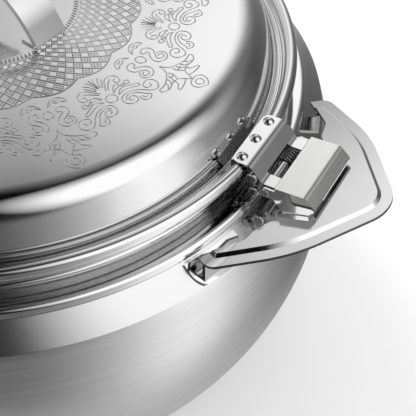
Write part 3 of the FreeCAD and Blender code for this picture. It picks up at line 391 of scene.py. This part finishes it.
def emboss(name, strokes, rings, beads, start):
    curve = bpy.data.curves.new(name, "CURVE")
    curve.dimensions = "3D"
    curve.bevel_depth = STROKE * MM
    curve.bevel_resolution = 1
    curve.use_fill_caps = True
    for side in (1.0, -1.0):
        for stroke in strokes:
            lay([(side * s, r) for s, r in stroke], False, curve)
        for s, r, wide, high in beads:
            lay(ring_points(side * s, r, wide, high), True, curve)
    for s, r, wide, high in rings:
        lay(ring_points(s, r, wide, high), True, curve)
    drawn = bpy.data.objects.new(name, curve)
    bpy.context.scene.collection.objects.link(drawn)
    bpy.ops.object.select_all(action="DESELECT")
    drawn.select_set(True)
    bpy.context.view_layer.objects.active = drawn
    bpy.ops.object.convert(target="MESH")
    first = bpy.context.view_layer.objects.active
    for vertex in first.data.vertices:
        r = math.hypot(vertex.co.x, vertex.co.y) / MM
        vertex.co.z = vertex.co.z * STROKE_HEIGHT + crown_height(r) * MM
    copies = [first]
    for k in range(1, MOTIFS):
        again = first.copy()
        again.data = first.data.copy()
        bpy.context.scene.collection.objects.link(again)
        again.rotation_euler.z = math.radians(360.0 / MOTIFS * k)
        copies.append(again)
    bpy.ops.object.select_all(action="DESELECT")
    for piece in copies:
        piece.select_set(True)
        piece.rotation_euler.z += math.radians(start)
    bpy.context.view_layer.objects.active = first
    bpy.ops.object.join()
    bpy.ops.object.transform_apply(location=True, rotation=True, scale=True)
    bpy.ops.object.shade_smooth()
    first.name = name
    first.data.materials.clear()
    first.data.materials.append(embossed)
    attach(first, "lid")
    return first


embossed = mirror_steel("stainless_mirror_embossed", "#c2c2c2", 0.16)
emboss("lid_fleurs", FLEUR, FLEUR_RINGS, [], FIRST_MOTIF)
emboss("lid_rosettes", ROSETTE, ROSETTE_RINGS, ROSETTE_BEADS, FIRST_MOTIF + 180.0 / MOTIFS)


# Lathe-turned skins: the same profiles as the solids, turned finely so that the polish reflects cleanly
def rounded(points):
    """Points along a path in mm, its corners (r, z, radius) rounded, about 2 mm or 4 degrees apart."""
    path = [points[0][:2]]
    for a, b, c in zip(points, points[1:], points[2:]):
        first = Vector((a[0] - b[0], a[1] - b[1])).normalized()
        last = Vector((c[0] - b[0], c[1] - b[1])).normalized()
        turn = math.pi - first.angle(last)
        if len(b) < 3 or turn < 1e-4:
            path.append(b[:2])
            continue
        middle = Vector(b[:2]) + (first + last).normalized() * (b[2] / math.cos(turn / 2.0))
        start = Vector(b[:2]) + first * b[2] * math.tan(turn / 2.0) - middle
        end = Vector(b[:2]) + last * b[2] * math.tan(turn / 2.0) - middle
        steps = max(3, int(math.degrees(turn) / 4.0), int(b[2] * turn / 2.0))
        sweep = start.angle_signed(end)
        for k in range(steps + 1):
            spoke = start.copy()
            spoke.rotate(Matrix.Rotation(-sweep * k / steps, 2))
            path.append(tuple(middle + spoke))
    path.append(points[-1][:2])
    return path


def walled(path, thickness):
    """Closed profile of a sheet: the path, then back along its right-hand side."""
    back = []
    for i, here in enumerate(path):
        before = Vector(path[max(i - 1, 0)])
        after = Vector(path[min(i + 1, len(path) - 1)])
        along = (after - before).normalized()
        back.append((max(here[0] + along[1] * thickness, 0.0), here[1] - along[0] * thickness))
    return path + back[::-1]


def circle(r, z, size):
    return ring_points(r, z, size, size, 48)


def turned(node, body, runs):
    """One skin of revolution from profiles (points, closed), in place of a node."""
    curve = bpy.data.curves.new(node + "_turned", "CURVE")
    curve.dimensions = "3D"
    for points, closed in runs:
        spline = curve.splines.new("POLY")
        spline.points.add(len(points) - 1)
        for knot, (r, z) in zip(spline.points, points):
            knot.co = (r * MM, 0.0, z * MM, 1.0)
        spline.use_cyclic_u = closed
    made = bpy.data.objects.new(node + "_turned", curve)
    bpy.context.scene.collection.objects.link(made)
    bpy.ops.object.select_all(action="DESELECT")
    made.select_set(True)
    bpy.context.view_layer.objects.active = made
    bpy.ops.object.convert(target="MESH")
    made = bpy.context.view_layer.objects.active
    screw = made.modifiers.new("turn", "SCREW")
    screw.steps = 256
    screw.render_steps = 256
    screw.use_merge_vertices = True
    screw.merge_threshold = 0.000001
    bpy.ops.object.modifier_apply(modifier="turn")
    bpy.ops.object.mode_set(mode="EDIT")
    bpy.ops.mesh.select_all(action="SELECT")
    bpy.ops.mesh.normals_make_consistent(inside=False)
    bpy.ops.object.mode_set(mode="OBJECT")
    bpy.ops.object.shade_smooth_by_angle(angle=math.radians(28.0))
    made.data.materials.clear()
    made.data.materials.append(finish_of[node])
    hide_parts(node)
    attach(made, body)
    return made


def belly_arc(out, rise, straight):
    """Radius of the belly's arc, and the length of its tangents, for a straight run to a corner."""
    radius = (out ** 2 + rise ** 2 - straight ** 2) / (2.0 * out)
    angle = math.atan2(rise, radius - out) - math.atan(straight / radius)
    return radius, radius * math.tan(angle / 2.0)


# Sizes of the turned skins, in mm
BELLY_RADIUS = 141.4
BELLY_HEIGHT = 85.0
SEAM_RADIUS = 137.1
SEAM_HEIGHT = 114.4
SEAM_ROUND = 1.2
SEAM_STRAIGHT = 3.0
FOOT_RADIUS = 108.7
FOOT_HEIGHT = 5.0
FOOT_ROUND = 3.0
FOOT_STRAIGHT = 6.0
FOOT_MOUTH = 99.2
SHOULDER_TOP = (126.4, 123.15)
SHELL_SHEET = 1.0
NECK_RADIUS = 116.6
NECK_TOP = 134.45
NECK_SHELF = 128.1
NECK_ROUND = 3.5
NECK_BEAD = (116.6, 130.25, 0.6)
RIM_RADIUS = 127.0
RIM_BEAD = (127.0, 125.7, 2.4)
LID_SHEET = 0.8
LID_LEVEL = 48.0
LID_CORNER = (109.5, 158.2, 14.0)
LID_FOOT = (117.2, 137.1, 1.1)
LID_LIP = (121.5, 137.9)
LID_ROLL = (122.4, 140.0, 2.6)
LID_BEAD = (118.7, 137.55, 0.7)

UPPER_BELLY, UPPER_TANGENT = belly_arc(
    BELLY_RADIUS - SEAM_RADIUS, SEAM_HEIGHT - BELLY_HEIGHT, SEAM_STRAIGHT)
LOWER_BELLY, LOWER_TANGENT = belly_arc(
    BELLY_RADIUS - FOOT_RADIUS, BELLY_HEIGHT - FOOT_HEIGHT, FOOT_STRAIGHT)
shell_path = [
    SHOULDER_TOP, (SEAM_RADIUS, SEAM_HEIGHT, SEAM_ROUND),
    (BELLY_RADIUS, BELLY_HEIGHT + UPPER_TANGENT, UPPER_BELLY),
    (BELLY_RADIUS, BELLY_HEIGHT - LOWER_TANGENT, LOWER_BELLY),
    (FOOT_RADIUS, FOOT_HEIGHT, FOOT_ROUND), (FOOT_MOUTH, FOOT_HEIGHT)]
neck_path = [(NECK_RADIUS, NECK_TOP), (NECK_RADIUS, NECK_SHELF, NECK_ROUND), (RIM_RADIUS, NECK_SHELF)]
lid_path = [(0.0, CROWN_TOP), (LID_LEVEL, CROWN_TOP, CROWN_RADIUS), LID_CORNER, LID_FOOT, LID_LIP]
turned("outer_shell", "body", [(walled(rounded(shell_path), SHELL_SHEET), True)])
turned("neck_ring", "body", [
    (walled(rounded(neck_path), LID_SHEET), True), (circle(*RIM_BEAD), True), (circle(*NECK_BEAD), True)])
turned("lid_shell", "lid", [
    (walled(rounded(lid_path), LID_SHEET), False), (circle(*LID_ROLL), True), (circle(*LID_BEAD), True)])


# Floor: pale and matt, it keeps the soft shadow; the polish sees the tent instead of it
floor_paint, tree = new_material("matt_white_table")
seen = add(tree, "ShaderNodeLightPath").outputs["Is Camera Ray"]
share = add(tree, "ShaderNodeMath", {0: seen, 1: 0.45}, operation="MULTIPLY")
paint = add(tree, "ShaderNodeBsdfDiffuse", {"Color": linear("#f4f4f4")})
glow = add(tree, "ShaderNodeEmission", {"Color": linear("#ffffff"), "Strength": 1.0})
mixed = add(tree, "ShaderNodeMixShader", {0: share.outputs[0], 1: paint.outputs[0], 2: glow.outputs[0]})
output(tree, mixed)
bpy.ops.object.select_all(action="DESELECT")
bpy.ops.mesh.primitive_circle_add(vertices=96, radius=8.0, fill_type="NGON")
floor = bpy.context.view_layer.objects.active
floor.name = "floor"
floor.data.materials.append(floor_paint)
floor.visible_glossy = False


# Reflection tent: what the polished steel sees, by heading round the object and by height
def tent():
    material, tree = new_material("studio_tent_cloth")
    where = add(tree, "ShaderNodeTexCoord").outputs["Object"]
    heading = add(tree, "ShaderNodeVectorMath", {0: where}, operation="NORMALIZE").outputs[0]
    x, y, z = add(tree, "ShaderNodeSeparateXYZ", {0: heading}).outputs
    angle = add(tree, "ShaderNodeMath", {0: y, 1: x}, operation="ARCTAN2").outputs[0]
    around = spread(tree, angle, 0.0, 1.0, -math.pi, math.pi)

    def fade(value, stops):
        """Grey shades, as they show on polished steel, along a value."""
        ramp = add(tree, "ShaderNodeValToRGB", {0: value})
        points = ramp.color_ramp.elements
        for i, (at, shade) in enumerate(stops):
            point = points[i] if i < 2 else points.new(at)
            point.position = at
            light = linear("#%02x%02x%02x" % ((int(255.0 * shade),) * 3))[0] / STEEL_WHITE
            point.color = (light, light, light, 1.0)
        return ramp.outputs[0]

    def round_about(stops):
        return fade(around, [((azimuth + 180.0) / 360.0, shade) for azimuth, shade in stops])

    def closeness(azimuth, height):
        """1 at a heading, less away from it."""
        a = math.radians(azimuth)
        e = math.radians(height)
        aim = (math.cos(a) * math.cos(e), math.sin(a) * math.cos(e), math.sin(e))
        made = add(tree, "ShaderNodeVectorMath", {0: heading, 1: aim}, operation="DOT_PRODUCT")
        return made.outputs["Value"]

    def up_from(low, high, start, end):
        start = math.sin(math.radians(start))
        end = math.sin(math.radians(end))
        share = spread(tree, z, 0.0, 1.0, start, end, interpolation_type="SMOOTHSTEP")
        return tint_between(tree, share, low, high)

    ground = add(tree, "ShaderNodeRGB").outputs[0]
    ground.default_value = [GROUND_LIGHT, GROUND_LIGHT, GROUND_LIGHT, 1.0]
    walls = up_from(round_about(LOW_ENVIRONMENT), round_about(HIGH_ENVIRONMENT), 12.0, 42.0)
    walls = up_from(ground, walls, -78.0, -40.0)
    roof = fade(closeness(-80.0, 78.0), ROOF)
    panel = fade(closeness(5.0, 53.0), PANEL)
    flag = fade(spread(tree, closeness(121.0, 29.5), 0.0, 1.0, 0.96, 1.0), FLAG)
    light = add(tree, "ShaderNodeVectorMath", {0: walls, 1: roof}, operation="MULTIPLY").outputs[0]
    light = add(tree, "ShaderNodeVectorMath", {0: light, 1: panel}, operation="MAXIMUM").outputs[0]
    light = add(tree, "ShaderNodeVectorMath", {0: light, 1: flag}, operation="MULTIPLY").outputs[0]
    cloth = add(tree, "ShaderNodeEmission", {"Color": light, "Strength": 1.0})
    output(tree, cloth)
    bpy.ops.object.select_all(action="DESELECT")
    bpy.ops.mesh.primitive_uv_sphere_add(segments=48, ring_count=24, radius=3.0)
    made = bpy.context.view_layer.objects.active
    made.name = "reflection_tent"
    made.data.materials.append(material)
    bpy.ops.object.shade_smooth()
    made.visible_camera = False
    made.visible_diffuse = False
    made.visible_shadow = False


# Share of light that polished steel gives back, and the bounce from the table
STEEL_WHITE = 0.745
GROUND_LIGHT = 0.54

# Shades low and high on the tent, by heading in degrees from +X towards +Y
LOW_ENVIRONMENT = [
    (-180.0, 0.9), (-130.0, 0.95), (-105.0, 0.86), (-78.0, 0.36), (-53.0, 0.36), (-42.0, 0.48),
    (-32.0, 0.6), (-20.0, 0.76), (-12.0, 0.9), (0.0, 0.98), (10.0, 0.94), (18.0, 0.76), (25.0, 0.56),
    (43.0, 0.43), (60.0, 0.3), (75.0, 0.36), (88.0, 0.45), (100.0, 0.72), (120.0, 0.9), (150.0, 0.94),
    (180.0, 0.8)]
HIGH_ENVIRONMENT = [
    (-180.0, 0.9), (-130.0, 0.9), (-100.0, 0.6), (-75.0, 0.3), (-53.0, 0.29), (-40.0, 0.4),
    (-28.0, 0.62), (-10.0, 0.88), (0.0, 1.0), (12.0, 0.95), (24.0, 0.7), (38.0, 0.76), (51.0, 0.6),
    (63.0, 0.46), (75.0, 0.44), (85.0, 0.62), (97.0, 0.88), (108.0, 0.97), (113.0, 0.97),
    (118.0, 0.91), (122.0, 0.87), (131.0, 0.74), (150.0, 0.8), (170.0, 0.9)]

# Dark roof over the near side, bright panel above the latch, grey flag behind the handle
ROOF = [
    (0.40, 0.88), (0.52, 0.88), (0.57, 0.84), (0.70, 0.56), (0.80, 0.42), (0.90, 0.22),
    (0.945, 0.06), (0.99, 0.02)]
PANEL = [(0.80, 0.0), (0.90, 0.8), (0.95, 1.0)]
FLAG = [(0.45, 0.88), (0.70, 0.86), (0.85, 0.76), (0.93, 0.66), (1.0, 0.58)]
tent()

# World: white where the camera and the metal look past the tent, softer as a light
world = bpy.data.worlds.new("studio")
bpy.context.scene.world = world
world.use_nodes = True
tree = world.node_tree
tree.nodes.clear()
rays = add(tree, "ShaderNodeLightPath")
seen = rays.outputs["Is Camera Ray"]
for kind in ("Is Glossy Ray", "Is Transmission Ray"):
    seen = add(tree, "ShaderNodeMath", {0: seen, 1: rays.outputs[kind]}, operation="MAXIMUM").outputs[0]
strength = spread(tree, seen, 0.55, 1.0)
sky = add(tree, "ShaderNodeBackground", {"Color": linear("#ffffff"), "Strength": strength})
add(tree, "ShaderNodeOutputWorld", {"Surface": sky.outputs[0]})


# Soft boxes
def soft_box(name, place, aim, size, power):
    lamp = bpy.data.lights.new(name, "AREA")
    lamp.shape = "DISK"
    lamp.size = size
    lamp.energy = power
    made = bpy.data.objects.new(name, lamp)
    bpy.context.scene.collection.objects.link(made)
    made.location = place
    made.rotation_euler = (Vector(aim) - Vector(place)).to_track_quat("-Z", "Y").to_euler()
    made.visible_glossy = False


soft_box("left_soft_box", (-1.1, 0.5, 1.5), (0.0, 0.0, 0.06), 0.8, 24.0)
soft_box("top_soft_box", (0.5, 0.2, 1.8), (0.0, 0.0, 0.1), 1.2, 14.0)

# Camera, as fitted to the photograph
eye = Vector((0.24748, -0.27260, 0.42357))
look = Vector((-0.32387, 0.60555, -0.72692))
up = Vector((-0.35131, 0.63643, 0.68669))
right = look.cross(up).normalized()
up = right.cross(look).normalized()
camera = bpy.data.cameras.new("photo_view")
camera.lens = 96.59
camera.sensor_width = 36.0
camera.clip_start = 0.01
holder = bpy.data.objects.new("photo_view", camera)
bpy.context.scene.collection.objects.link(holder)
turn = holder.matrix_world.to_3x3()
turn.col[0] = right
turn.col[1] = up
turn.col[2] = -look.normalized()
holder.matrix_world = turn.to_4x4()
holder.location = eye
bpy.context.scene.camera = holder
bpy.context.scene.view_settings.view_transform = "Standard"
